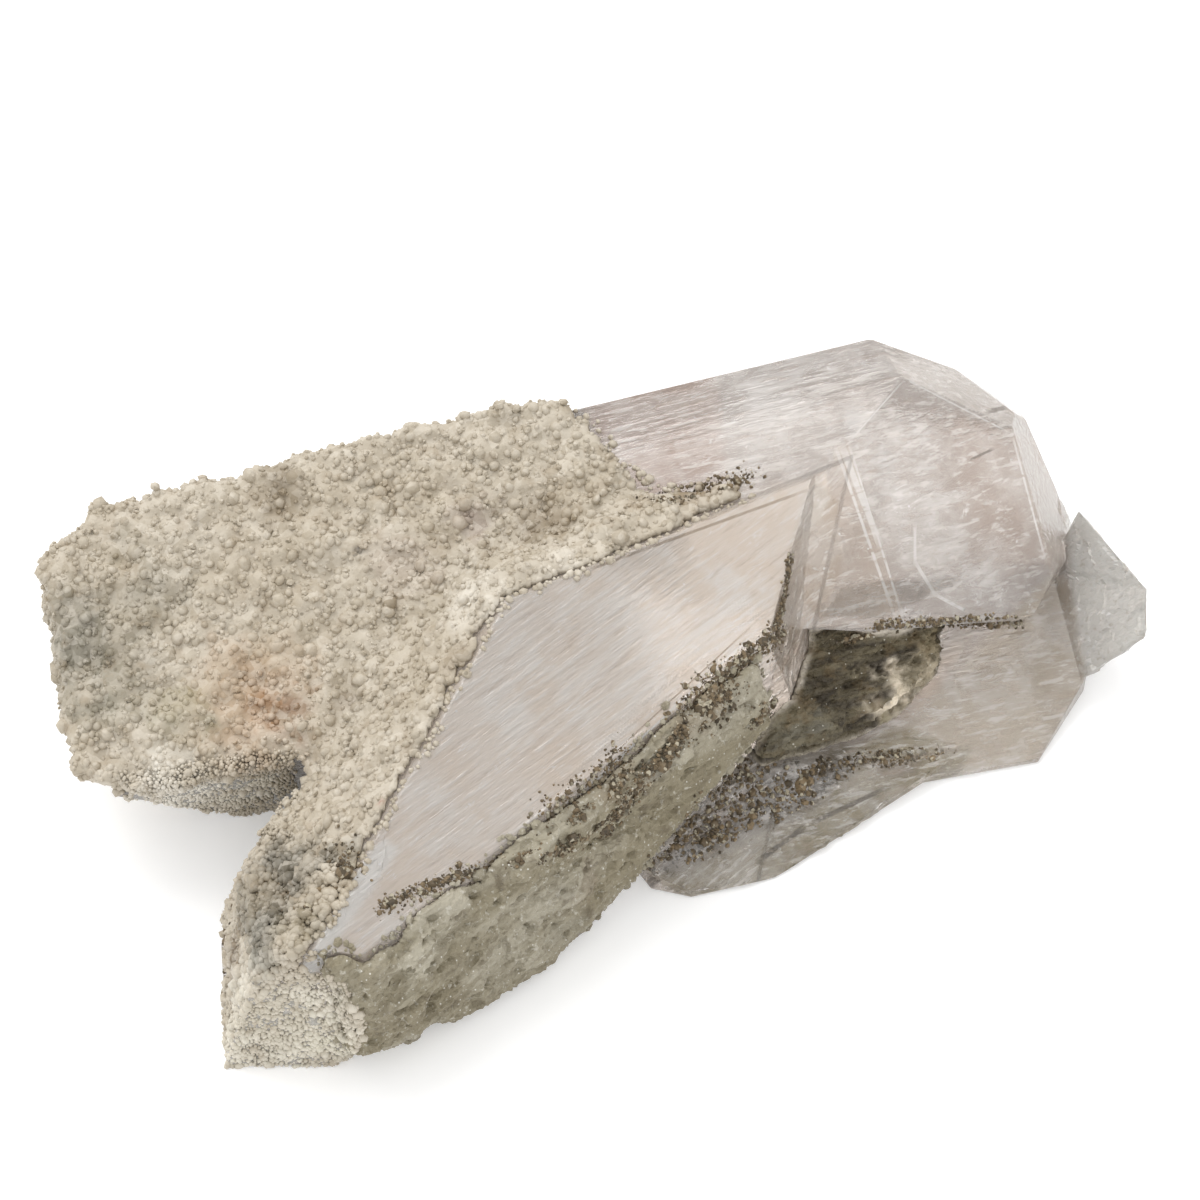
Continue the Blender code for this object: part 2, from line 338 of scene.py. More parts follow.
class Paint:
    """A node material under construction. Lengths are in millimetres."""

    def __init__(self, name):
        self.material = bpy.data.materials.new(name)
        self.material.use_nodes = True
        self.tree = self.material.node_tree
        self.shader = self.tree.nodes["Principled BSDF"]
        self.shared = {}
        coordinates = self.node("ShaderNodeTexCoord")
        self.place = self.vector("SCALE", coordinates.outputs["Object"], Scale=1 / MM)

    def node(self, kind, inputs=(), **settings):
        """A new node with its settings, values and links."""
        made = self.tree.nodes.new(kind)
        for key, value in settings.items():
            setattr(made, key, value)
        for key, value in dict(inputs).items():
            if isinstance(value, bpy.types.NodeSocket):
                self.tree.links.new(value, made.inputs[key])
            else:
                made.inputs[key].default_value = value
        return made

    def vector(self, operation, first, second=None, **values):
        """A vector operation's result."""
        inputs = {0: first, **values}
        if second is not None:
            inputs[1] = second
        made = self.node("ShaderNodeVectorMath", inputs, operation=operation)
        return made.outputs["Value" if operation == "DOT_PRODUCT" else "Vector"]

    def math(self, operation, first, second=0.0):
        """A number operation's result."""
        return self.node("ShaderNodeMath", {0: first, 1: second}, operation=operation).outputs[0]

    def step(self, value, low, high):
        """0 at low and 1 at high, smooth between them. Low may be over high."""
        if low > high:
            return self.math("SUBTRACT", 1.0, self.step(value, high, low))
        inputs = {"Value": value, "From Min": low, "From Max": high}
        return self.node("ShaderNodeMapRange", inputs, interpolation_type="SMOOTHSTEP").outputs["Result"]

    def noise(self, size, place=None, detail=4.0, rough=0.55, warp=0.0):
        """Noise from 0 to 1 with features of a size."""
        inputs = {"Vector": place or self.place, "Scale": 1 / size, "Detail": detail}
        inputs.update({"Roughness": rough, "Distortion": warp})
        return self.node("ShaderNodeTexNoise", inputs).outputs["Fac"]

    def cells(self, size, output="Distance"):
        """Distance from the nearest cell's middle, or that cell's colour."""
        inputs = {"Vector": self.place, "Scale": 1 / size}
        return self.node("ShaderNodeTexVoronoi", inputs).outputs[output]

    def blend(self, share, first, second):
        """Two colours mixed by a share."""
        made = self.node("ShaderNodeMix", {0: share, 6: first, 7: second}, data_type="RGBA")
        return made.outputs[2]

    def frame_place(self, crystal_axes, stretch):
        """Coordinates along a crystal's axes, each divided by its stretch."""
        rows = (row / size for row, size in zip(crystal_axes.transposed(), stretch))
        parts = [self.vector("DOT_PRODUCT", self.place, tuple(row)) for row in rows]
        return self.node("ShaderNodeCombineXYZ", dict(enumerate(parts))).outputs[0]

    def ragged(self, grain):
        """One shared noise from -0.5 to 0.5 for ragged outlines, with features of a size."""
        if grain not in self.shared:
            self.shared[grain] = self.math("SUBTRACT", self.noise(grain, detail=3.0, rough=0.65), 0.5)
        return self.shared[grain]

    def over_plane(self, outward):
        """How far a place is over a plane through the viewpoint, times the outward vector's length."""
        return self.math("ADD", self.vector("DOT_PRODUCT", self.place, tuple(outward)), -EYE.dot(outward))

    def side(self, first, second, inner):
        """1 where the inner pixel lies beside the line between two pixels, through the model."""
        across = photo_ray(first).cross(photo_ray(second)).normalized()
        if across.dot(photo_ray(inner)) < 0:
            across = -across
        return self.step(self.over_plane(across), -SIDE_SOFTNESS, SIDE_SOFTNESS)

    def strokes(self, lines):
        """1 on lines between photograph pixels, each with its width in pixels, through the model."""
        nearest = None
        for first, second, pixels_wide in lines:
            across = photo_ray(first).cross(photo_ray(second)).normalized()
            middle = (photo_ray(first) + photo_ray(second)).normalized()
            along = across.cross(middle)
            reach = abs(photo_ray(second).dot(along)) * DISTANCE
            side = self.math("ABSOLUTE", self.over_plane(across * (2 / (pixels_wide * PIXEL))))
            end = self.math("ABSOLUTE", self.over_plane(along * (1 / reach)))
            over = self.math("MAXIMUM", side, end)
            nearest = over if nearest is None else self.math("MINIMUM", nearest, over)
        nearest = self.math("ADD", nearest, self.math("MULTIPLY", self.ragged(2.0), STROKE_WANDER))
        return self.step(nearest, STROKE_OUTSIDE, STROKE_INSIDE)

    def own_tint(self):
        """The mesh's own tint and its alpha, laid on by set_tint."""
        made = self.node("ShaderNodeAttribute", attribute_name=TINT)
        return made.outputs["Color"], made.outputs["Alpha"]

    def times(self, *shares):
        """The product of several shares."""
        result = shares[0]
        for share in shares[1:]:
            result = self.math("MULTIPLY", result, share)
        return result

    def tint(self, colour, mask, share, *screen_colour):
        """A colour with a share of another laid on where the mask is."""
        return self.blend(self.math("MULTIPLY", mask, share), colour, linear(*screen_colour))

    def bump(self, height, depth):
        """A normal roughened by height, depth millimetres deep."""
        inputs = {"Height": height, "Distance": depth * MM, "Strength": 1.0}
        return self.node("ShaderNodeBump", inputs).outputs["Normal"]

    def set(self, **values):
        """Values or links of the shader's sockets, with spaces as underscores."""
        for key, value in values.items():
            socket = self.shader.inputs[key.replace("_", " ")]
            if isinstance(value, bpy.types.NodeSocket):
                self.tree.links.new(value, socket)
            else:
                socket.default_value = value


# Colours laid on the crystals, mostly their own, with painted light on the bare left flank and a painted
# shadow on the stub: pixels around each place, the softness of its edge in pixels, the share laid on and the
# colour.
TINTED_FACES = (
    (((575, 380), (712, 365), (730, 490), (620, 500)), 6, 0.9, (171, 149, 138)),
    (((712, 340), (880, 330), (906, 379), (848, 441), (820, 478), (728, 490)), 6, 0.8, (184, 177, 172)),
    (((905, 379), (1012, 434), (1050, 573), (1031, 616), (902, 616), (848, 441)), 6, 0.8, (188, 179, 173)),
    (((950, 400), (1012, 434), (1046, 560), (1000, 570), (950, 520)), 60, 0.75, (180, 160, 146)),
    (((836, 446), (848, 441), (902, 618), (815, 640), (815, 560)), 6, 0.8, (198, 183, 170)),
    (((875, 330), (955, 362), (1040, 440), (1012, 434), (905, 379)), 6, 0.85, (196, 191, 185)),
    (((1012, 434), (1040, 436), (1072, 556), (1050, 575), (1044, 540)), 6, 0.8, (194, 180, 168)),
    (((812, 480), (838, 500), (842, 560), (815, 650), (775, 725), (771, 626), (794, 535)),
     6, 0.8, (186, 168, 148)),
    (((800, 500), (818, 478), (832, 497), (812, 530), (798, 535)), 6, 0.6, (226, 220, 210)),
    (((1000, 622), (1056, 573), (1078, 606), (1090, 680), (1030, 770), (930, 785), (890, 740)),
     18, 0.85, (212, 200, 181)),
    (((1044, 590), (1064, 582), (1090, 676), (1050, 745), (1040, 720)), 18, 0.7, (186, 172, 152)),
    (((1010, 628), (1030, 624), (1052, 700), (1040, 720)), 9, 0.5, (184, 172, 153)),
    (((1064, 480), (1090, 505), (1155, 590), (1152, 640), (1086, 680), (1072, 600)),
     10, 1.0, (253, 252, 246)),
    (((219, 1030), (229, 999), (296, 975), (361, 1030), (359, 1060), (269, 1085), (222, 1075)),
     66, 0.9, (243, 241, 230)),
    (((382, 836), (399, 849), (353, 910), (310, 982), (296, 980), (345, 890)), 10, 0.9, (252, 251, 247)),
    # The bare left flank: pale, and brightened further with painted light against its shading.
    (((100, 770), (285, 745), (300, 840), (180, 822)), 25, 0.9, (245, 242, 232)),
    (((740, 755), (737, 775), (650, 870), (600, 880), (650, 800)), 18, 0.9, (150, 140, 114)),
    (((735, 774), (861, 757), (972, 748), (958, 775), (776, 890), (690, 902), (640, 868)),
     8, 0.95, (158, 147, 118)),
    # Painted shadow of the front crystal's rim on the stub, dark over the stub's own brown.
    (((728, 765), (868, 752), (840, 790), (780, 812), (700, 822), (664, 880), (644, 868)),
     26, 0.95, (66, 52, 32)),
    (((869, 758), (925, 752), (915, 776), (872, 776)), 18, 0.8, (112, 92, 62)),
    (((735, 750), (850, 742), (850, 760), (735, 776)), 15, 0.85, (108, 100, 80)),
    (((843, 757), (889, 726), (924, 733), (954, 748), (869, 760)), 11, 0.85, (166, 156, 128)),
    (((865, 694), (902, 669), (965, 640), (948, 681), (915, 715), (882, 723)), 15, 0.85, (222, 202, 182)),
)
# Lines on the crystals: both ends and the width, all in pixels.
# Painted highlights: white lines along the crystals' edges, rims and growth lines.
PAINTED_HIGHLIGHT_LINES = (
    ((836, 448), (895, 617), 3.4), ((848, 441), (903, 618), 2.6), ((842, 446), (880, 545), 7.0),
    ((849, 442), (905, 379), 2.0), ((905, 379), (1012, 434), 2.0), ((1012, 434), (1046, 562), 2.4),
    ((915, 524), (915, 565), 3.4), ((915, 562), (936, 596), 3.8), ((934, 594), (966, 611), 3.8),
    ((574, 801), (764, 624), 2.4), ((787, 805), (806, 788), 4.0),
)
DARK_LINES = (
    ((986, 412), (1008, 407), 5.5), ((968, 461), (995, 448), 3.2),
    ((757, 862), (806, 826), 6.0), ((806, 826), (888, 787), 5.0),
)
# Brown lines: the first is a painted shadow under the crust's rim on the front crystal, the rest are brown
# dirt.
BROWN_DIRT_AND_SHADOW_LINES = (
    ((585, 571), (816, 487), 3.2), ((790, 553), (785, 592), 5.0), ((786, 586), (775, 630), 8.0),
    ((596, 770), (760, 618), 1.8),
)
MILKY_PLACES = (
    ((620, 640), 7.0, 0.65), ((700, 640), 6.0, 0.75), ((745, 610), 4.0, 0.85), ((590, 690), 5.0, 0.6),
    ((508, 716), 2.6, 0.7), ((900, 480), 6.0, 0.7), ((880, 430), 3.0, 0.6), ((960, 560), 5.0, 0.6),
    ((770, 400), 5.0, 0.6), ((440, 830), 4.0, 0.5),
)
# Two lines in the photograph that bound the front crystal, and a pixel on its side of both.
FRONT_TOP_LINE = ((505, 598), (825, 468))
FRONT_END_LINE = ((842, 500), (800, 690))
FRONT_MIDDLE = (600, 700)
FRONT_OUTLINE = (
    (505, 598), (825, 468), (844, 550), (648, 870), (360, 1062), (213, 1082), (222, 880), (420, 738),
)
MAIN_COLOUR = (196, 185, 176)
FRONT_COLOUR = (240, 226, 211)
# How the faces' colours fade on what is turned away from the photograph.
SEEN_EDGE = 0.6
SEEN_RISE = 2.0
# The size of the milky places' wander in millimetres, and how soon they are full.
MILKY_WANDER = 3.0
MILKY_FULL = 1.4


def crystal_tints(points, normals):
    """Each point's colour by the face it lies on, with painted light and shadow where the table lays them,
    and in alpha how milky it is.
    """
    pixels = photo_pixels(points)
    seen = eased(SEEN_EDGE + SEEN_RISE * (normals @ np.array(BACKWARD)))
    front = within(pixels, FRONT_OUTLINE, 6)[:, None]
    colours = np.array(linear(*MAIN_COLOUR)) * (1 - front) + np.array(linear(*FRONT_COLOUR)) * front
    for outline, soft, share, tint in TINTED_FACES:
        mask = share * seen * within(pixels, outline, soft)
        colours += mask[:, None] * (np.array(linear(*tint)) - colours)
    colours[:, 3] = 0
    wobble = np.array([noise.fractal(Vector(point) / MILKY_WANDER, 0.7, 2.0, 3) for point in points])
    for pixel, radius, share in MILKY_PLACES:
        away = np.linalg.norm(points - np.array(photo_point(pixel)), axis=1) + radius * wobble
        colours[:, 3] = np.maximum(colours[:, 3], share * eased((radius - away) / radius * MILKY_FULL))
    return colours


# The share of each kind of line that shows, and its colour.
LINE_KINDS = (
    # painted highlight lines
    (PAINTED_HIGHLIGHT_LINES, 0.85, (254, 253, 250)),
    (DARK_LINES, 0.8, (104, 94, 84)),
    # brown dirt lines and a painted shadow line
    (BROWN_DIRT_AND_SHADOW_LINES, 0.7, (136, 112, 80)),
)
# Danburite's optics: how much light it bends, lets through and absorbs.
CRYSTAL_IOR = 1.63
CRYSTAL_TRANSMISSION = 0.68
CRYSTAL_DEPTH_COLOUR = (226, 212, 200)
CRYSTAL_ABSORPTION = 9.0


def danburite_material():
    """Pale pink-grey clear crystal with white veils, growth lines and a colour for each face, with painted
    highlights, glints, light and shadow.
    """
    paint = Paint("danburite")
    colour, milkiness = paint.own_tint()
    front = paint.times(
        paint.side(*FRONT_TOP_LINE, FRONT_MIDDLE), paint.side(*FRONT_END_LINE, FRONT_MIDDLE),
    )
    main_place = paint.frame_place(MAIN_AXES, (7.0, 1.0, 1.0))
    front_place = paint.frame_place(FRONT_AXES, (9.0, 1.0, 1.0))
    streak_place = paint.node(
        "ShaderNodeMix", {0: front, 4: main_place, 5: front_place}, data_type="VECTOR"
    ).outputs[1]
    clouds = paint.step(paint.noise(5.0, detail=4.0, rough=0.62, warp=0.6), 0.38, 0.62)
    streaks = paint.noise(0.5, streak_place, detail=3.0, rough=0.6)
    mottle = paint.noise(1.3, streak_place, detail=3.0, rough=0.7, warp=1.5)
    colour = paint.tint(colour, clouds, 0.35, 250, 247, 243)
    milky = paint.times(milkiness, paint.step(mottle, 0.30, 0.70))
    colour = paint.tint(colour, milky, 0.95, 254, 253, 250)
    pale = paint.step(streaks, 0.52, 0.66)
    dark = paint.step(streaks, 0.44, 0.28)
    colour = paint.tint(colour, pale, 0.6, 252, 248, 242)
    colour = paint.tint(colour, dark, 0.4, 192, 172, 156)
    hair = paint.step(paint.math("ABSOLUTE", paint.math("SUBTRACT", mottle, 0.5)), 0.018, 0.0)
    wisps = paint.times(hair, paint.step(paint.ragged(2.0), -0.04, 0.12))
    colour = paint.tint(colour, wisps, 0.75, 254, 253, 251)
    for lines, share, tint in LINE_KINDS:
        broken = paint.times(paint.strokes(lines), paint.step(streaks, 0.25, 0.48))
        colour = paint.tint(colour, broken, share, *tint)
    # Painted glints: tiny white dots of painted light where the crystals sparkle.
    painted_glints = paint.times(paint.step(paint.cells(1.4), 0.10, 0.05), paint.step(paint.ragged(2.0), 0.02, 0.1))
    colour = paint.tint(colour, painted_glints, 0.8, 255, 255, 255)
    rough = paint.math("ADD", 0.07, paint.math("MULTIPLY", clouds, 0.10))
    rough = paint.math("ADD", rough, paint.math("MULTIPLY", milky, 0.12))
    paint.set(
        Base_Color=colour, Roughness=rough, IOR=CRYSTAL_IOR,
        Transmission_Weight=CRYSTAL_TRANSMISSION, Normal=paint.bump(streaks, 0.14),
    )
    inputs = {"Color": linear(*CRYSTAL_DEPTH_COLOUR), "Density": CRYSTAL_ABSORPTION}
    inside = paint.node("ShaderNodeVolumeAbsorption", inputs)
    output = paint.tree.nodes["Material Output"]
    paint.tree.links.new(inside.outputs[0], output.inputs["Volume"])
    return paint.material


# Stains on the crust, and pale patches of painted light on the shaded left flank's grains: a pixel of the
# photograph, a radius in millimetres, a colour and its share.
CRUST_STAINS_AND_PAINTED_LIGHT = (
    ((90, 640), 7.5, (98, 94, 78), 0.8),
    ((150, 600), 5.0, (128, 122, 106), 0.6),
    ((120, 700), 4.0, (122, 118, 100), 0.6),
    ((60, 700), 3.0, (118, 114, 98), 0.5),
    ((280, 490), 3.4, (112, 94, 66), 0.8),
    ((130, 552), 2.4, (116, 104, 78), 0.7),
    ((250, 700), 7.5, (176, 142, 108), 0.65),
    ((288, 712), 3.0, (120, 76, 26), 0.9),
    ((266, 714), 2.2, (148, 106, 60), 0.8),
    ((250, 672), 1.8, (156, 126, 96), 0.7),
    ((180, 712), 3.4, (138, 132, 98), 0.6),
    ((200, 722), 1.3, (100, 96, 66), 0.7),
    ((540, 525), 3.6, (112, 94, 66), 0.65),
    ((560, 505), 2.0, (124, 106, 78), 0.5),
    ((468, 520), 3.0, (146, 128, 120), 0.6),
    ((400, 560), 4.0, (160, 142, 128), 0.4),
    ((700, 492), 2.8, (124, 102, 68), 0.75),
    ((740, 482), 2.0, (110, 90, 58), 0.7),
    ((640, 505), 2.2, (138, 118, 86), 0.5),
    ((452, 655), 1.8, (124, 104, 76), 0.6),
    ((345, 700), 1.2, (104, 84, 60), 0.7),
    ((390, 600), 1.6, (130, 112, 84), 0.5),
    ((343, 858), 2.4, (84, 74, 52), 0.85),
    ((290, 895), 5.5, (62, 56, 40), 0.95),
    ((300, 858), 3.2, (70, 64, 46), 0.9),
    ((244, 905), 4.0, (78, 72, 54), 0.9),
    ((262, 935), 4.5, (74, 68, 50), 0.95),
    ((262, 868), 2.6, (90, 84, 70), 0.8),
    ((238, 960), 3.8, (100, 80, 50), 0.9),
    ((300, 930), 3.0, (130, 118, 92), 0.7),
    ((470, 610), 4.5, (222, 216, 204), 0.6),
    ((560, 560), 3.0, (220, 212, 198), 0.5),
    ((290, 1020), 8.0, (222, 217, 202), 0.85),
    ((240, 1050), 5.0, (222, 217, 202), 0.85),
    ((340, 1040), 4.0, (216, 210, 192), 0.8),
    # Painted light: pale patches that lift the shading on the left flank's grains.
    ((180, 795), 6.0, (242, 238, 228), 0.9),
    ((250, 790), 4.0, (230, 225, 212), 0.85),
    ((384, 781), 0.5, (150, 70, 52), 0.8),
    ((378, 800), 0.6, (150, 70, 52), 0.8),
    ((366, 486), 0.6, (44, 40, 36), 0.95),
    ((357, 550), 0.5, (44, 40, 36), 0.95),
)
CRUST_COLOUR = (176, 165, 146)


def druse_material():
    """Cream grains, each a little different, in the colours laid on their mesh."""
    paint = Paint("druse")
    colour = paint.own_tint()[0]
    shade = paint.cells(0.7, output="Color")
    split = paint.node("ShaderNodeSeparateColor", {"Color": shade})
    colour = paint.tint(colour, split.outputs[0], 0.35, 236, 228, 214)
    broad = paint.step(paint.ragged(7.0), -0.08, 0.14)
    colour = paint.tint(colour, broad, 0.35, 170, 156, 132)
    fine = paint.step(paint.ragged(2.0), 0.03, 0.2)
    colour = paint.tint(colour, fine, 0.4, 150, 132, 106)
    crumbs = paint.step(paint.cells(1.9), 0.12, 0.07)
    colour = paint.tint(colour, crumbs, 0.55, 96, 84, 62)
    paint.set(
        Base_Color=colour, Roughness=0.5, IOR=1.6,
        Normal=paint.bump(paint.ragged(0.3), 0.10),
    )
    return paint.material


def grey_rock_material():
    """Rough rock with brown dirt and glossy grains with painted glints, in the colours laid on its mesh."""
    paint = Paint("grey_rock")
    along = paint.frame_place(FRONT_AXES, (3.0, 1.0, 1.0))
    colour = paint.own_tint()[0]
    broad = paint.step(paint.noise(5.0, along, detail=4.0, warp=0.5), 0.38, 0.66)
    colour = paint.tint(colour, broad, 0.6, 186, 180, 164)
    veins = paint.step(paint.noise(1.4, along, detail=6.0, rough=0.68, warp=0.8), 0.48, 0.66)
    colour = paint.tint(colour, veins, 0.6, 110, 100, 78)
    colour = paint.tint(colour, paint.step(paint.ragged(0.5), 0.06, 0.2), 0.5, 214, 210, 198)
    colour = paint.tint(colour, paint.step(paint.ragged(2.0), 0.08, 0.2), 0.6, 92, 80, 58)
    # Painted glints: pale dots of painted light, where the rock is glossier too.
    glint = paint.step(paint.cells(0.7), 0.13, 0.06)
    paint.set(
        Base_Color=paint.tint(colour, glint, 0.7, 240, 238, 230),
        Roughness=paint.math("SUBTRACT", 0.6, paint.math("MULTIPLY", glint, 0.5)),
        Normal=paint.bump(paint.ragged(0.5), 0.25),
    )
    return paint.material


# Stains on the rocks, like those on the crust.
ROCK_COLOUR = (138, 129, 106)
# The dark rock's colour: dark brown, deepened with painted shade of the hollow.
DARK_ROCK_AND_SHADE_COLOUR = (50, 41, 26)
# The dark rock is pale where it touches the crystals, so that it doesn't darken their clear faces.
CONTACT_COLOUR = (214, 204, 190)
DARK_ROCK_STAINS = (
    ((900, 698), 3.6, (250, 236, 214), 0.95),
    ((925, 668), 2.6, (214, 200, 176), 0.9),
    ((890, 735), 2.2, (150, 142, 114), 0.85),
    ((800, 730), 3.4, (120, 116, 102), 0.7),
    ((930, 640), 2.4, (120, 106, 78), 0.8),
)
ROCK_STAINS = (
    ((712, 700), 2.4, (112, 88, 54), 0.8),
    ((690, 720), 2.0, (104, 82, 50), 0.8),
    ((610, 775), 3.2, (112, 92, 60), 0.75),
    ((655, 770), 1.8, (60, 50, 34), 0.85),
    ((626, 808), 1.2, (44, 36, 24), 0.9),
    ((565, 890), 1.3, (84, 76, 58), 0.7),
    ((481, 968), 0.9, (92, 68, 38), 0.9),
    ((585, 880), 2.0, (120, 100, 74), 0.6),
    ((380, 905), 2.5, (206, 198, 178), 0.7),
    ((420, 960), 3.5, (190, 184, 166), 0.6),
    ((560, 930), 2.5, (120, 114, 96), 0.6),
)


def dark_rock_material():
    """Dark ridged rock with brown dirt, its darkness partly painted shade."""
    paint = Paint("dark_rock")
    along = paint.frame_place(MAIN_AXES, (6.0, 1.0, 1.0))
    layers = paint.step(paint.noise(1.3, along, detail=8.0, rough=0.68), 0.36, 0.66)
    colour = paint.tint(paint.own_tint()[0], layers, 0.6, 128, 118, 92)
    dirt = paint.step(paint.ragged(2.0), 0.0, 0.2)
    colour = paint.tint(colour, dirt, 0.6, 98, 80, 50)
    # Painted glints: pale dots of painted light.
    glint = paint.step(paint.cells(0.9), 0.11, 0.05)
    colour = paint.tint(colour, glint, 0.7, 214, 210, 198)
    paint.set(
        Base_Color=colour, Roughness=0.6,
        Normal=paint.bump(paint.ragged(0.5), 0.3),
    )
    return paint.material


# The crystals' sharp edges are a little worn.
WORN_EDGE = 0.12
SHORTEST_EDGE = 0.25
SHARP_ANGLE = math.radians(12)
FLAT_ANGLE = math.radians(0.6)
# Where the crystals' faces are broken or striated: pixels around the place, the softness of its edge
# in pixels, the longest mesh edge there in millimetres, the kind of relief and its depth.
RELIEFS = (
    (((1056, 470), (1090, 500), (1160, 590), (1155, 645), (1086, 685), (1070, 600)),
     10, 0.55, "broken", 0.30),
    (((212, 1090), (215, 990), (300, 950), (372, 1030), (360, 1075)), 16, 0.55, "broken", 0.28),
    (((735, 768), (970, 742), (965, 778), (776, 892), (690, 905), (636, 868)), 10, 0.5, "slabs", 0.32),
    (((840, 757), (889, 722), (930, 730), (958, 750), (869, 762)), 8, 0.4, "slabs", 0.25),
    (((896, 660), (1000, 625), (1040, 730), (1000, 775), (900, 790)), 20, 0.8, "broken", 0.16),
    (((776, 625), (640, 775), (560, 850), (500, 850), (600, 740), (740, 590)), 14, 0.27, "lines", 0.05),
    (((836, 440), (850, 440), (906, 620), (862, 640), (810, 560)), 8, 0.27, "ribs", 0.035),
    (((815, 600), (870, 600), (880, 640), (820, 640)), 8, 0.4, "broken", 0.14),
    (((812, 480), (838, 500), (842, 560), (815, 650), (775, 725), (760, 730), (771, 626)),
     8, 0.6, "broken", 0.10),
    (((105, 775), (290, 745), (305, 845), (180, 822)), 12, 0.9, "slabs", 0.16),
    (((375, 835), (405, 845), (353, 915), (305, 985), (290, 975)), 8, 0.5, "broken", 0.12),
)
LIP = ((822, 633), (858, 634), (878, 620), (914, 618), (973, 617), (1031, 616))
LIP_REACH = 9
LIP_WAVE = 0.8
LIP_EDGE = 0.4
REFINE_ROUNDS = 9
LONGEST_SEEN = 0.9
# Where along an edge its places are asked how short it should be.
EDGE_SAMPLES = (0.1, 0.3, 0.5, 0.7, 0.9)
# Reliefs are left off faces turned this far away from the photograph, and off the flat base.
FACING_LIMIT = -0.1
ABOVE_BASE = 0.3
# A relief weaker than this is left out.
LEAST_MASK = 0.02


def broken_height(point):
    """Splinters of a broken face, each tilted its own way, from -1 to 1."""
    place = point / 2.2
    corner = noise.voronoi(place)[1][0]
    tilt = noise.noise_vector(corner * 7.3)
    return 1.4 * tilt.dot(place - corner) + 0.6 * noise.noise(corner * 5.1) + 0.25 * noise.noise(place * 3.0)


def slab_height(point):
    """Long slabs and grooves along the main crystal, from -1 to 1."""
    along, across, up = MAIN_AXES.transposed() @ point
    return 1.3 * noise.fractal(Vector((along / 7, across / 1.3, up / 1.3)), 0.8, 2.0, 3)


def line_height(point):
    """Fine growth lines along the front crystal, from -1 to 1."""
    along, across, up = FRONT_AXES.transposed() @ point
    fine = noise.noise(Vector((along / 14, across / 0.28, 0)))
    return fine + 0.8 * noise.noise(Vector((along / 18, across / 0.8, 3)))


def rib_height(point):
    """Growth ribs down the main crystal's end, from -1 to 1."""
    along, across, up = MAIN_AXES.transposed() @ point
    return 1.6 * noise.noise(Vector((along / 0.45, across / 9, up / 9)))


HEIGHTS = {"broken": broken_height, "slabs": slab_height, "lines": line_height, "ribs": rib_height}


def relief_masks(points):
    """For each relief, how much of it each point has."""
    pixels = photo_pixels(points)
    return [within(pixels, outline, soft) for outline, soft, *_ in RELIEFS]


def lip_mask(points):
    """How near each point is to the broken lip, as the photograph shows it."""
    pixels = photo_pixels(points)
    nearest = np.full(len(points), np.inf)
    for first, second in zip(np.array(LIP, float), np.array(LIP[1:], float)):
        side = second - first
        share = np.clip((pixels - first) @ side / (side @ side), 0, 1)
        nearest = np.minimum(nearest, np.hypot(*(pixels - first - share[:, None] * side).T))
    return np.clip(1.4 - nearest / LIP_REACH, 0, 1)


def longest_edges(points):
    """The longest mesh edge wanted at each point, in millimetres."""
    wanted = np.full(len(points), LONGEST_SEEN)
    for mask, (_, _, longest, *_) in zip(relief_masks(points), RELIEFS):
        wanted = np.where(mask > LEAST_MASK, np.minimum(wanted, longest), wanted)
    return np.where(lip_mask(points) > 0.1, np.minimum(wanted, LIP_EDGE), wanted)


def faces_photo(edge):
    """Whether a face beside an edge is turned towards the photograph's view."""
    return any(face.normal.dot(BACKWARD) > FACING_LIMIT for face in edge.link_faces)


def refine(bm):
    """Split the mesh's edges where its reliefs want them shorter."""
    for _ in range(REFINE_ROUNDS):
        bm.normal_update()
        edges = [edge for edge in bm.edges if faces_photo(edge)]
        ends = np.array([[vert.co[:] for vert in edge.verts] for edge in edges])
        length = np.linalg.norm(ends[:, 1] - ends[:, 0], axis=1)
        wanted = np.full(len(edges), np.inf)
        for share in EDGE_SAMPLES:
            wanted = np.minimum(wanted, longest_edges(ends[:, 0] * (1 - share) + ends[:, 1] * share))
        split = [edges[index] for index in np.flatnonzero(length > wanted)]
        if not split:
            break
        bmesh.ops.subdivide_edges(bm, edges=split, cuts=1)
        bmesh.ops.triangulate(bm, faces=[face for face in bm.faces if len(face.verts) > 3])


def carve(bm):
    """Raise the reliefs and the lip's waves on the refined mesh."""
    bm.normal_update()
    points = mesh_points(bm)
    masks = relief_masks(points)
    lip = lip_mask(points)
    for index, vert in enumerate(bm.verts):
        if vert.normal.dot(BACKWARD) < FACING_LIMIT or vert.co.z < ABOVE_BASE:
            continue
        move = 0.0
        for mask, (*_, kind, depth) in zip(masks, RELIEFS):
            if mask[index] > LEAST_MASK:
                move += mask[index] * depth * HEIGHTS[kind](vert.co)
        wave = 0.0
        if lip[index] > 0:
            wave = lip[index] * LIP_WAVE * noise.fractal(Vector((vert.co.x / 2.2, 0, 5)), 0.6, 2.0, 3)
        points[index] += np.array(vert.normal * move + UPWARD * wave)
    for vert, point in zip(bm.verts, points):
        vert.co = point


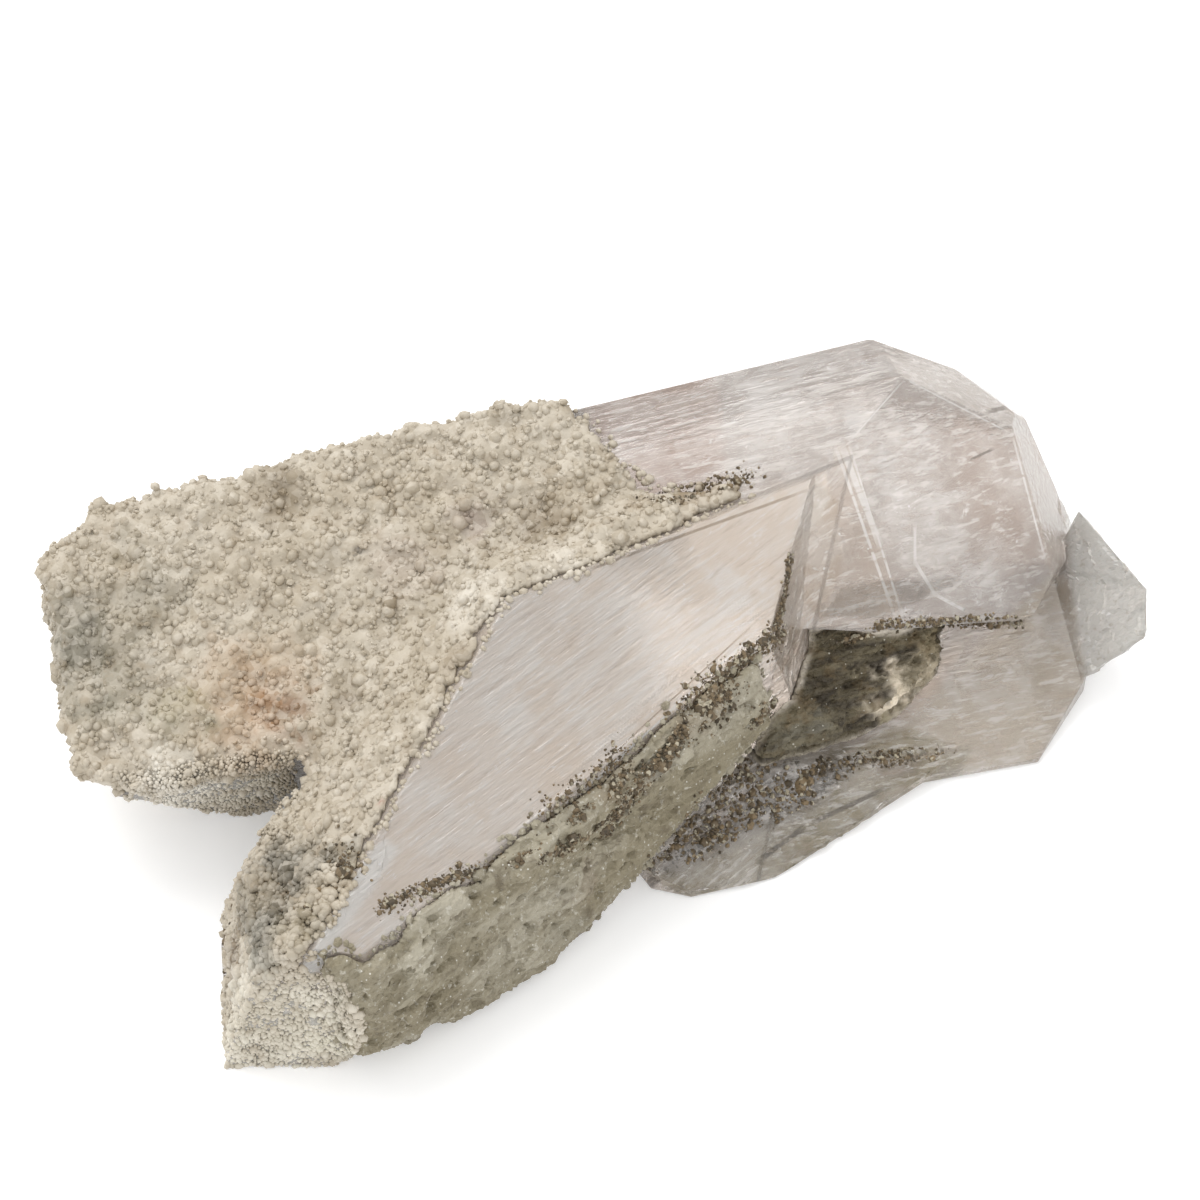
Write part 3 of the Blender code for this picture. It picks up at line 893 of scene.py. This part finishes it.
def crystal_cluster():
    """The joined crystals with worn edges, growth lines and broken faces."""
    bm = node_mesh("danburite_crystals")
    bmesh.ops.dissolve_degenerate(bm, dist=SHORTEST_EDGE, edges=bm.edges)
    bmesh.ops.dissolve_limit(bm, angle_limit=FLAT_ANGLE, verts=bm.verts, edges=bm.edges)
    sharp = [edge for edge in bm.edges if edge.is_manifold and edge.calc_face_angle() > SHARP_ANGLE]
    bmesh.ops.bevel(
        bm, geom=sharp, offset=WORN_EDGE, offset_type="OFFSET", segments=2, profile=0.5,
        affect="EDGES", clamp_overlap=True,
    )
    bmesh.ops.triangulate(bm, faces=bm.faces)
    refine(bm)
    carve(bm)
    bm.normal_update()
    colours = crystal_tints(mesh_points(bm), np.array([vert.normal[:] for vert in bm.verts]))
    piece_from("crystal_cluster", bm, colours, danburite_material(), "danburite", "danburite_crystals")


# How far the crust and the rocks grow towards the crystals, to close the CAD model's gap. Their relief
# starts this far from the crystals and is full a little further out, all in millimetres.
SEAM = 0.27
SEAM_START = 0.35
CRUST_FULL = 0.8
ROCK_FULL = 0.9
# The crust's mesh, its clumps' sizes and heights, and its grains' depth and least height, in millimetres.
CRUST_VOXEL = 0.42
CLUMPS = ((4.0, 0.55), (1.4, 0.40))
CLUMP_MIDDLE = 0.7
GRAIN_SINK = 0.16
LEAST_COVER = 0.40
# The crust's kinds of grain: the gap, scatter and radius in millimetres, whether flat, and the pieces.
GRAIN_KINDS = (
    ("druse_grains", 0.52, 0.08, 0.33, False, 2),
    ("druse_sugar", 0.36, 0.16, 0.19, True, 3),
)
GRAIN_SPREAD = 0.3
# How far the crust's grains stray onto the bare crystals, in millimetres.
STRAY_REACH = 1.1
STRAY_SAMPLES = 60000
STRAY_GAP = 0.26
# Within this share of the reach all grains stay, and the crust over them is looked for this high.
STRAY_CERTAIN = 0.15
COVER_HEIGHT = 3.0


def outer(point):
    """How far a point is from the crystals, in millimetres."""
    return CRYSTALS.find_nearest(point)[3]


def over_seam(point, full_at, relief):
    """The seam's height close to the crystals, and a relief's from a distance on."""
    full = smooth_step(outer(point), SEAM_START, full_at)
    return SEAM * (1 - full) + full * relief


def druse_crust(material):
    """The crust's lumpy body, and the places of its grains."""
    bm = remeshed("druse_crust", CRUST_VOXEL)

    def height(point, normal):
        clumps = sum(rise * (lump(point, size) - CLUMP_MIDDLE) for size, rise in CLUMPS)
        return over_seam(point, CRUST_FULL, clumps)

    displace(bm, height)
    bm.normal_update()
    places = [face.calc_center_median() - GRAIN_SINK * face.normal for face in bm.faces]
    places = np.array([place[:] for place in places if outer(place) > LEAST_COVER])
    smooth(bm)
    colours = stain_and_light_colours(mesh_points(bm), CRUST_COLOUR, CRUST_STAINS_AND_PAINTED_LIGHT)
    piece_from("druse_body", bm, colours, material, "druse", "druse_crust")
    return places


def surface_points(bm, count, draw):
    """Random points spread evenly over a mesh, with the faces' directions."""
    bmesh.ops.triangulate(bm, faces=bm.faces)
    corners = np.array([[vert.co[:] for vert in face.verts] for face in bm.faces])
    normals = np.array([face.normal[:] for face in bm.faces])
    areas = np.array([face.calc_area() for face in bm.faces])
    chosen = draw.choice(len(areas), count, p=areas / areas.sum())
    first, second = draw.uniform(size=(2, count, 1))
    flip = first + second > 1
    first, second = np.where(flip, 1 - first, first), np.where(flip, 1 - second, second)
    base = corners[chosen, 0]
    points = base + first * (corners[chosen, 1] - base) + second * (corners[chosen, 2] - base)
    return points, normals[chosen]


def stray_places(node, reach, count, seed):
    """Places on the bare crystals close to the edge of a node that covers them."""
    draw = np.random.default_rng(seed)
    crystals = node_mesh("danburite_crystals")
    points, normals = surface_points(crystals, count, draw)
    crystals.free()
    cover = tree_of(node)
    chances = draw.uniform(size=count)
    places = []
    for point, normal, chance in zip(points, normals, chances):
        place, outward = Vector(point), Vector(normal)
        away = cover.find_nearest(place, reach)[3]
        if away is None or chance > (1 + STRAY_CERTAIN - away / reach) or point[2] < ABOVE_BASE:
            continue
        if cover.ray_cast(place, outward, COVER_HEIGHT)[0] is None:
            places.append(point)
    return np.array(places)


def pieces_of_grains(name, places, sizes, colours, material, slot, *nodes, flat=False, count=1):
    """Grains in pieces of a size that exports well, each grain in one colour."""
    shares = np.array_split(np.argsort(places[:, 0]), count)
    for number, share in enumerate(shares, 1):
        mesh = grain_mesh(name, places[share], sizes[share], SEED + number)
        if flat:
            mesh.shade_flat()
        corners = len(mesh.vertices) // len(share)
        set_tint(mesh, np.repeat(colours[share], corners, axis=0))
        piece_of("%s_%d" % (name, number), mesh, material, slot, *nodes)


def druse_grains(places, material):
    """Sugary grains of two sizes all over the crust and straying onto the crystals."""
    rng = random.Random(SEED)
    draw = np.random.default_rng(SEED)
    for name, gap, scatter, radius, flat, count in GRAIN_KINDS:
        grains = places[spread_out(places.tolist(), gap, rng)]
        grains = grains + draw.normal(0, scatter, grains.shape)
        sizes = radius * draw.lognormal(0.0, GRAIN_SPREAD, len(grains))
        colours = stain_and_light_colours(grains, CRUST_COLOUR, CRUST_STAINS_AND_PAINTED_LIGHT)
        pieces_of_grains(
            name, grains, sizes, colours, material, "druse", "druse_crust", flat=flat, count=count,
        )


# The crust's edge thins out onto the crystals. Three more places are coated by grains alone: pixels
# around the place, how many grains are tried, the gap between them and their radius in millimetres.
COATED_PLACES = (
    (((226, 900), (277, 832), (352, 884), (330, 920), (262, 990), (226, 1000)), 9000, 0.33, 0.33),
    (((224, 995), (290, 965), (345, 985), (366, 1030), (350, 1062), (262, 1082), (222, 1068)),
     12000, 0.26, 0.22),
    (((112, 775), (290, 748), (300, 838), (180, 822)), 12000, 0.24, 0.18),
)
STRAY_RADIUS = 0.25
COATED_SOFTNESS = 8


def strewn(outline, soft, count, draw):
    """The points that random pixels in a soft outline show."""
    pixels = draw.uniform(np.min(outline, axis=0), np.max(outline, axis=0), (count, 2))
    return photo_hits(pixels[within(pixels, outline, soft) > draw.uniform(0, 1, count)])


def edge_grains(material):
    """Grains that thin out from the crust's edge, and the places that grains alone coat."""
    draw = np.random.default_rng(SEED + 3)
    rng = random.Random(SEED + 3)
    stray = stray_places("druse_crust", STRAY_REACH, STRAY_SAMPLES, SEED)
    stray = stray[spread_out(stray.tolist(), STRAY_GAP, rng)]
    places, sizes = [stray], [np.full(len(stray), STRAY_RADIUS)]
    for outline, count, gap, radius in COATED_PLACES:
        hits = strewn(outline, COATED_SOFTNESS, count, draw)
        hits = hits[spread_out(hits.tolist(), gap, rng)]
        places.append(hits)
        sizes.append(np.full(len(hits), radius))
    places, sizes = np.concatenate(places), np.concatenate(sizes)
    sizes = sizes * draw.lognormal(0.0, GRAIN_SPREAD, len(sizes))
    colours = stain_and_light_colours(places, CRUST_COLOUR, CRUST_STAINS_AND_PAINTED_LIGHT)
    pieces_of_grains("druse_edge", places, sizes, colours, material, "druse")


# Crumbs of brown dirt along lines of the photograph: the line, its spread in pixels and the count.
DIRT_LINES = (
    (((778, 628), (771, 643), (743, 660), (718, 690), (690, 718)), 5, 1040),
    (((725, 680), (690, 725)), 11, 840),
    (((690, 718), (666, 757), (641, 783), (624, 808), (600, 832)), 4, 840),
    (((630, 755), (600, 790), (550, 815)), 10, 840),
    (((600, 832), (560, 850), (520, 858), (470, 872), (430, 886), (380, 908)), 4, 960),
    (((750, 724), (770, 700)), 4, 160),
    (((790, 556), (786, 590), (776, 626)), 1.5, 240),
    (((824, 637), (858, 640), (880, 626), (914, 623), (973, 622), (1020, 620)), 3, 840),
    (((640, 506), (700, 490), (756, 474)), 5, 320),
    (((232, 880), (228, 930), (232, 990)), 5, 320),
    (((335, 845), (350, 870), (300, 910), (262, 880)), 8, 480),
)
# The crumbs' radius in millimetres, and their colour and its range.
DIRT_SIZE = 0.09
DIRT_COLOUR = (112, 96, 72)
DIRT_SHADES = (0.5, 1.4)
DIRTY_SOFTNESS = 22
# Dirt that covers a place of its own, on the stub with painted shade too: pixels around it, how many crumbs
# are strewn and their size.
DIRTY_AND_SHADED_PLACES = (
    # On the stub the crumbs are brown dirt and also painted shade, where the front crystal's rim shades it.
    (((722, 770), (868, 756), (850, 780), (780, 808), (704, 822), (668, 872), (648, 866)), 2600, 0.12),
    (((845, 756), (900, 748), (960, 748), (925, 760), (868, 768)), 500, 0.10),
)


def dirt_crumbs():
    """Brown crumbs on the ledge of the front crystal and in the hollows."""
    draw = np.random.default_rng(SEED + 5)
    places = []
    for line, spread, count in DIRT_LINES:
        corners = np.array(line, float)
        spans = np.linalg.norm(np.diff(corners, axis=0), axis=1)
        legs = draw.choice(len(spans), count, p=spans / spans.sum())
        pixels = corners[legs] + draw.uniform(size=(len(legs), 1)) * np.diff(corners, axis=0)[legs]
        pixels = pixels + draw.normal(0, spread, (len(legs), 2))
        places.append(photo_hits(pixels))
    sizes = [np.full(sum(map(len, places)), DIRT_SIZE)]
    for outline, count, size in DIRTY_AND_SHADED_PLACES:
        hits = strewn(outline, DIRTY_SOFTNESS, count, draw)
        places.append(hits)
        sizes.append(np.full(len(hits), size))
    places = np.concatenate(places)
    sizes = np.concatenate(sizes) * draw.lognormal(0.0, 0.5, len(places))
    colours = stain_and_light_colours(places, DIRT_COLOUR, ())
    colours[:, :3] *= draw.uniform(*DIRT_SHADES, (len(places), 1))
    pieces_of_grains("dirt_crumbs", places, sizes, colours, dirt_material(), "grey_matrix", flat=True)


def dirt_material():
    """Brown, grey and tan crumbs in the colours laid on their mesh."""
    paint = Paint("dirt")
    colour = paint.own_tint()[0]
    split = paint.node("ShaderNodeSeparateColor", {"Color": paint.cells(0.3, output="Color")})
    colour = paint.tint(colour, paint.step(split.outputs[1], 0.6, 0.8), 0.7, 58, 50, 36)
    colour = paint.tint(colour, paint.step(split.outputs[2], 0.8, 0.9), 0.7, 196, 188, 166)
    paint.set(Base_Color=colour, Roughness=0.6, Normal=paint.bump(paint.ragged(0.3), 0.1))
    return paint.material


ROCK_VOXEL = 0.26
ROCK_CRUMB_REACH = 1.3
ROCK_CRUMB_RADIUS = 0.2


def front_rock(material):
    """Rough grey rock on the front crystal's right flank."""
    bm = remeshed("matrix_front", ROCK_VOXEL)
    to_local = FRONT_AXES.transposed()

    def height(point, normal):
        along, across, up = to_local @ point
        place = Vector((along / 2.2, across, up))
        rough = noise.fractal(place / 1.5, 0.6, 2.1, 6)
        pits = smooth_step(noise.noise(place / 0.8), 0.32, 0.55)
        return over_seam(point, ROCK_FULL, 0.42 * rough - 0.45 * pits + 0.1 * noise.noise(point / 0.35))

    displace(bm, height)
    colours = stain_and_light_colours(mesh_points(bm), ROCK_COLOUR, ROCK_STAINS)
    piece_from("front_rock", bm, colours, material, "grey_matrix", "matrix_front")


def hollow_rock():
    """Dark ridged rock in the hollow under the main crystal's clear end, its dark brown deepened with
    painted shade of the hollow.
    """
    bm = remeshed("matrix_between", ROCK_VOXEL)
    to_local = MAIN_AXES.transposed()

    def height(point, normal):
        along, across, up = to_local @ point
        ridges = noise.fractal(Vector((along / 4, across / 0.9, up / 0.9)), 0.6, 2.1, 5)
        return over_seam(point, ROCK_FULL, 0.5 * ridges + 0.12 * noise.noise(point / 0.4))

    displace(bm, height)
    points = mesh_points(bm)
    colours = stain_and_light_colours(points, DARK_ROCK_AND_SHADE_COLOUR, DARK_ROCK_STAINS)
    away = [smooth_step(outer(Vector(point)), SEAM_START, CRUST_FULL) for point in points]
    touching = (1 - np.array(away))[:, None]
    colours += touching * (np.array(linear(*CONTACT_COLOUR)) - colours)
    piece_from("hollow_rock", bm, colours, dark_rock_material(), "dark_matrix", "matrix_between")


def rock_crumbs(material):
    """Grains of rock that thin out from the grey rock's edge."""
    draw = np.random.default_rng(SEED + 7)
    places = stray_places("matrix_front", ROCK_CRUMB_REACH, STRAY_SAMPLES, SEED + 1)
    places = places[spread_out(places.tolist(), STRAY_GAP, random.Random(SEED + 7))]
    sizes = ROCK_CRUMB_RADIUS * draw.lognormal(0.0, 0.4, len(places))
    colours = stain_and_light_colours(places, ROCK_COLOUR, ROCK_STAINS)
    pieces_of_grains("rock_crumbs", places, sizes, colours, material, "grey_matrix", flat=True)


# The setting, in metres.
FLOOR_SIDE = 3.0
FLOOR_DROP = 0.00005
FLOOR_SHADE = 0.85
FLOOR_GLOW = 0.25
HORIZON_STRENGTH = 0.9
ZENITH_STRENGTH = 1.15
KEY_POWER = 5.0
KEY_SIZE = 0.7
KEY_PLACE = Vector((-0.35, 0.45, 0.9))
NEAREST_SEEN = 0.01
# How often light bounces, in all and of each kind.
BOUNCES = 7
DIFFUSE_BOUNCES = 2
CLEAR_BOUNCES = 6


def floor():
    """A plain pale floor."""
    bpy.ops.mesh.primitive_plane_add(size=FLOOR_SIDE, location=(0, 0, -FLOOR_DROP))
    item = bpy.context.object
    item.name = "floor"
    paint = Paint("floor")
    paint.set(
        Base_Color=(FLOOR_SHADE, FLOOR_SHADE, FLOOR_SHADE, 1), Roughness=0.9,
        Emission_Color=(1, 1, 1, 1), Emission_Strength=FLOOR_GLOW,
    )
    item.data.materials.append(paint.material)


def lights():
    """Soft studio light from all sides and a large lamp behind on the left."""
    world = bpy.data.worlds.new("studio")
    bpy.context.scene.world = world
    world.use_nodes = True
    tree = world.node_tree
    coordinates = tree.nodes.new("ShaderNodeTexCoord")
    parts = tree.nodes.new("ShaderNodeSeparateXYZ")
    strength = tree.nodes.new("ShaderNodeMapRange")
    tree.links.new(coordinates.outputs["Generated"], parts.inputs[0])
    tree.links.new(parts.outputs["Z"], strength.inputs["Value"])
    strength.inputs["To Min"].default_value = HORIZON_STRENGTH
    strength.inputs["To Max"].default_value = ZENITH_STRENGTH
    tree.links.new(strength.outputs["Result"], tree.nodes["Background"].inputs["Strength"])
    tree.nodes["Background"].inputs["Color"].default_value = (1, 1, 1, 1)
    data = bpy.data.lights.new("key", "AREA")
    data.energy = KEY_POWER
    data.size = KEY_SIZE
    key = bpy.data.objects.new("key", data)
    key.location = KEY_PLACE
    key.rotation_euler = (-KEY_PLACE).to_track_quat("-Z", "Y").to_euler()
    bpy.context.scene.collection.objects.link(key)


def camera():
    """The photograph's view: from the front, 50 degrees above the horizon."""
    data = bpy.data.cameras.new("camera")
    data.lens = LENS
    data.sensor_width = SENSOR
    data.clip_start = NEAREST_SEEN
    item = bpy.data.objects.new("camera", data)
    item.location = EYE * MM
    item.rotation_euler = (math.pi / 2 - ELEVATION, 0, 0)
    bpy.context.scene.collection.objects.link(item)
    bpy.context.scene.camera = item


def main():
    """Build the specimen and its setting."""
    camera()
    lights()
    floor()
    crystal_cluster()
    druse = druse_material()
    places = druse_crust(druse)
    druse_grains(places, druse)
    edge_grains(druse)
    grey_rock = grey_rock_material()
    front_rock(grey_rock)
    rock_crumbs(grey_rock)
    hollow_rock()
    dirt_crumbs()
    scene = bpy.context.scene
    scene.view_settings.view_transform = "Standard"
    scene.cycles.max_bounces = BOUNCES
    scene.cycles.diffuse_bounces = DIFFUSE_BOUNCES
    scene.cycles.transmission_bounces = CLEAR_BOUNCES


main()
